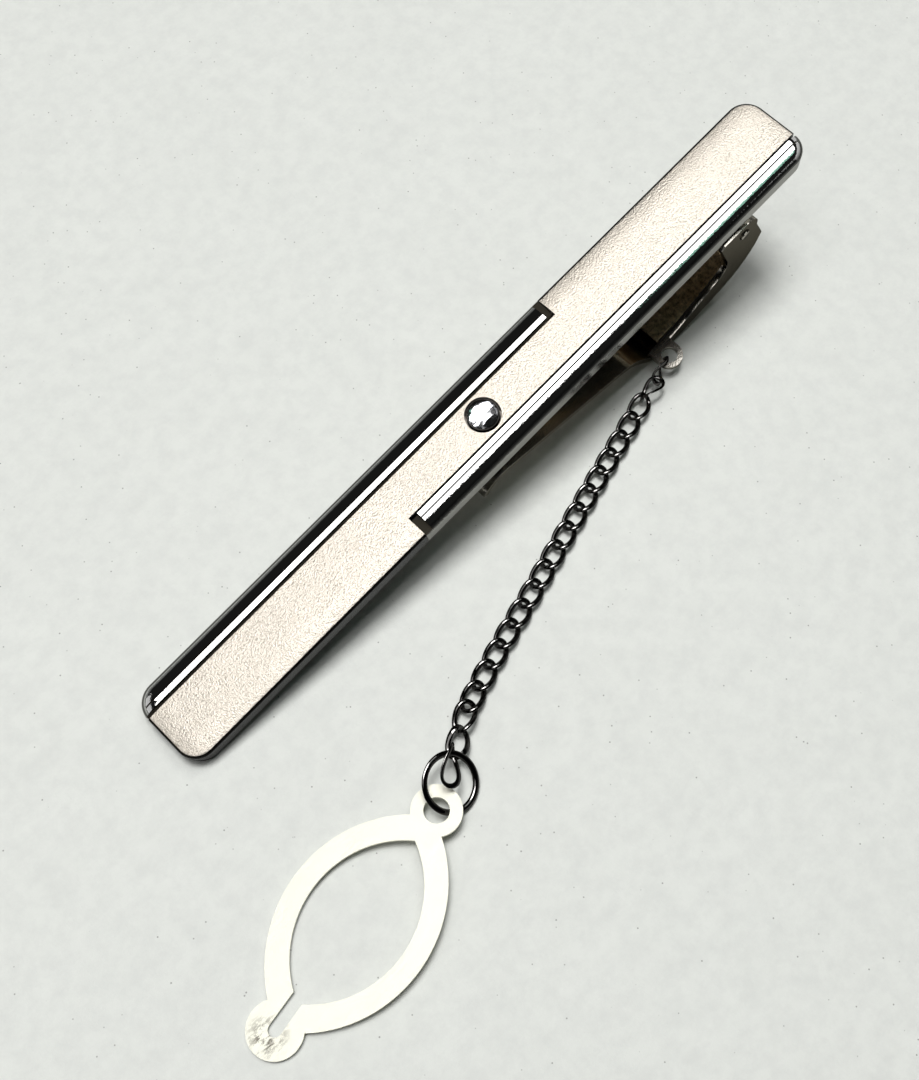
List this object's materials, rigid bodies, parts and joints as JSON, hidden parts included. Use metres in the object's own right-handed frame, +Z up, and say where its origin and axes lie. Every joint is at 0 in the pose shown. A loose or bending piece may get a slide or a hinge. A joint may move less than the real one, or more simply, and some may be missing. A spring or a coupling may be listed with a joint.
{
  "type": "tie tack",
  "caption": "Tie tack made as a tie bar with a sprung hinged clip, a set clear stone and a curb chain that ends in a ring and a button loop.",
  "frame": {"origin": "middle of the bounding box at the level surface that the part lies on", "axes": "+X along the bar towards the hinge, +Y away from the chain, +Z up from the surface"},
  "size_m": [0.066, 0.025, 0.0133],
  "materials": {
    "bar_metal": "satin rhodium plate with polished edge strips",
    "cup_metal": "polished",
    "clear_stone": "faceted and clear",
    "clip_metal": "polished",
    "spring_metal": "dull and grainy",
    "chain_metal": "dark and glossy",
    "loop_metal": "bright satin sheet"
  },
  "bodies": {
    "bar": {"front_bar": "bar_metal", "stone_setting": "cup_metal", "crystal": "clear_stone", "hinge_bracket": "clip_metal", "hinge_pin": "clip_metal"},
    "clip": {"clip_arm": "clip_metal", "leaf_spring": "spring_metal"},
    "link_01": {"chain_link_01": "chain_metal"},
    "link_02": {"chain_link_02": "chain_metal"},
    "link_03": {"chain_link_03": "chain_metal"},
    "link_04": {"chain_link_04": "chain_metal"},
    "link_05": {"chain_link_05": "chain_metal"},
    "link_06": {"chain_link_06": "chain_metal"},
    "link_07": {"chain_link_07": "chain_metal"},
    "link_08": {"chain_link_08": "chain_metal"},
    "link_09": {"chain_link_09": "chain_metal"},
    "link_10": {"chain_link_10": "chain_metal"},
    "link_11": {"chain_link_11": "chain_metal"},
    "link_12": {"chain_link_12": "chain_metal"},
    "link_13": {"chain_link_13": "chain_metal"},
    "link_14": {"chain_link_14": "chain_metal"},
    "link_15": {"chain_link_15": "chain_metal"},
    "link_16": {"chain_link_16": "chain_metal"},
    "link_17": {"chain_link_17": "chain_metal"},
    "link_18": {"chain_link_18": "chain_metal"},
    "link_19": {"chain_link_19": "chain_metal"},
    "link_20": {"chain_link_20": "chain_metal"},
    "ring": {"jump_ring": "chain_metal"},
    "last_link": {"chain_link_21": "chain_metal"},
    "loop": {"button_loop": "loop_metal"}
  },
  "joints": [
    {"name": "clip_hinge", "type": "hinge", "parent": "clip", "child": "bar", "pos_m": [0.02694, 0.00918, 0.00864], "axis": [0, 1, 0], "range_deg": [0, 50], "stiffness_Nm_per_rad": 0.02, "springref_deg": -20.05},
    {"name": "link_01_swing", "type": "hinge", "parent": "clip", "child": "link_01", "pos_m": [0.01975, 0.00504, 0.00114], "axis": [0, 0, 1], "range_deg": [-12, 12]},
    {"name": "link_02_swing", "type": "hinge", "parent": "link_01", "child": "link_02", "pos_m": [0.0181, 0.00447, 0.00095], "axis": [-0.0785, 0.9969, 0], "range_deg": [-12, 12]},
    {"name": "link_03_swing", "type": "hinge", "parent": "link_02", "child": "link_03", "pos_m": [0.01644, 0.00408, 0.00074], "axis": [0, 0, -1], "range_deg": [-12, 12]},
    {"name": "link_04_swing", "type": "hinge", "parent": "link_03", "child": "link_04", "pos_m": [0.01478, 0.00371, 0.00058], "axis": [0.2615, -0.9652, 0], "range_deg": [-12, 12]},
    {"name": "link_05_swing", "type": "hinge", "parent": "link_04", "child": "link_05", "pos_m": [0.01314, 0.00327, 0.00051], "axis": [0, 0, 1], "range_deg": [-12, 12]},
    {"name": "link_06_swing", "type": "hinge", "parent": "link_05", "child": "link_06", "pos_m": [0.01152, 0.00284, 0.0005], "axis": [0.2568, -0.9665, 0], "range_deg": [-12, 12]},
    {"name": "link_07_swing", "type": "hinge", "parent": "link_06", "child": "link_07", "pos_m": [0.00992, 0.00241, 0.0005], "axis": [0, 0, -1], "range_deg": [-12, 12]},
    {"name": "link_08_swing", "type": "hinge", "parent": "link_07", "child": "link_08", "pos_m": [0.00832, 0.00198, 0.00052], "axis": [-0.2632, 0.9647, 0], "range_deg": [-12, 12]},
    {"name": "link_09_swing", "type": "hinge", "parent": "link_08", "child": "link_09", "pos_m": [0.00672, 0.00155, 0.00052], "axis": [0, 0, 1], "range_deg": [-12, 12]},
    {"name": "link_10_swing", "type": "hinge", "parent": "link_09", "child": "link_10", "pos_m": [0.00513, 0.0011, 0.00052], "axis": [-0.2711, 0.9626, 0], "range_deg": [-12, 12]},
    {"name": "link_11_swing", "type": "hinge", "parent": "link_10", "child": "link_11", "pos_m": [0.00354, 0.00065, 0.00052], "axis": [0, 0, -1], "range_deg": [-12, 12]},
    {"name": "link_12_swing", "type": "hinge", "parent": "link_11", "child": "link_12", "pos_m": [0.00194, 0.00021, 0.00052], "axis": [0.2675, -0.9636, 0], "range_deg": [-12, 12]},
    {"name": "link_13_swing", "type": "hinge", "parent": "link_12", "child": "link_13", "pos_m": [0.00035, -0.00023, 0.00052], "axis": [0, 0, 1], "range_deg": [-12, 12]},
    {"name": "link_14_swing", "type": "hinge", "parent": "link_13", "child": "link_14", "pos_m": [-0.00125, -0.00066, 0.00052], "axis": [0.2577, -0.9662, 0], "range_deg": [-12, 12]},
    {"name": "link_15_swing", "type": "hinge", "parent": "link_14", "child": "link_15", "pos_m": [-0.00285, -0.00109, 0.00051], "axis": [0, 0, -1], "range_deg": [-12, 12]},
    {"name": "link_16_swing", "type": "hinge", "parent": "link_15", "child": "link_16", "pos_m": [-0.00444, -0.00153, 0.00051], "axis": [-0.2847, 0.9586, 0], "range_deg": [-12, 12]},
    {"name": "link_17_swing", "type": "hinge", "parent": "link_16", "child": "link_17", "pos_m": [-0.00603, -0.002, 0.00052], "axis": [0, 0, 1], "range_deg": [-12, 12]},
    {"name": "link_18_swing", "type": "hinge", "parent": "link_17", "child": "link_18", "pos_m": [-0.00761, -0.0025, 0.00054], "axis": [-0.3195, 0.9476, 0], "range_deg": [-12, 12]},
    {"name": "link_19_swing", "type": "hinge", "parent": "link_18", "child": "link_19", "pos_m": [-0.00907, -0.00304, 0.00062], "axis": [0, 0, -1], "range_deg": [-12, 12]},
    {"name": "link_20_swing", "type": "hinge", "parent": "link_19", "child": "link_20", "pos_m": [-0.0105, -0.00376, 0.00078], "axis": [0.5417, -0.8406, 0], "range_deg": [-12, 12]},
    {"name": "ring_swing", "type": "hinge", "parent": "link_20", "child": "ring", "pos_m": [-0.01195, -0.00466, 0.00098], "axis": [0, 0, 1], "range_deg": [-8, 8]},
    {"name": "last_link_swing", "type": "hinge", "parent": "ring", "child": "last_link", "pos_m": [-0.01206, -0.00427, 0.00174], "axis": [0.5448, -0.5521, 0.6312], "range_deg": [-8, 8]},
    {"name": "loop_swing", "type": "hinge", "parent": "ring", "child": "loop", "pos_m": [-0.01537, -0.00638, 0.00117], "axis": [-0.0627, 0.0535, 0.9966], "range_deg": [-10, 10]}
  ]
}
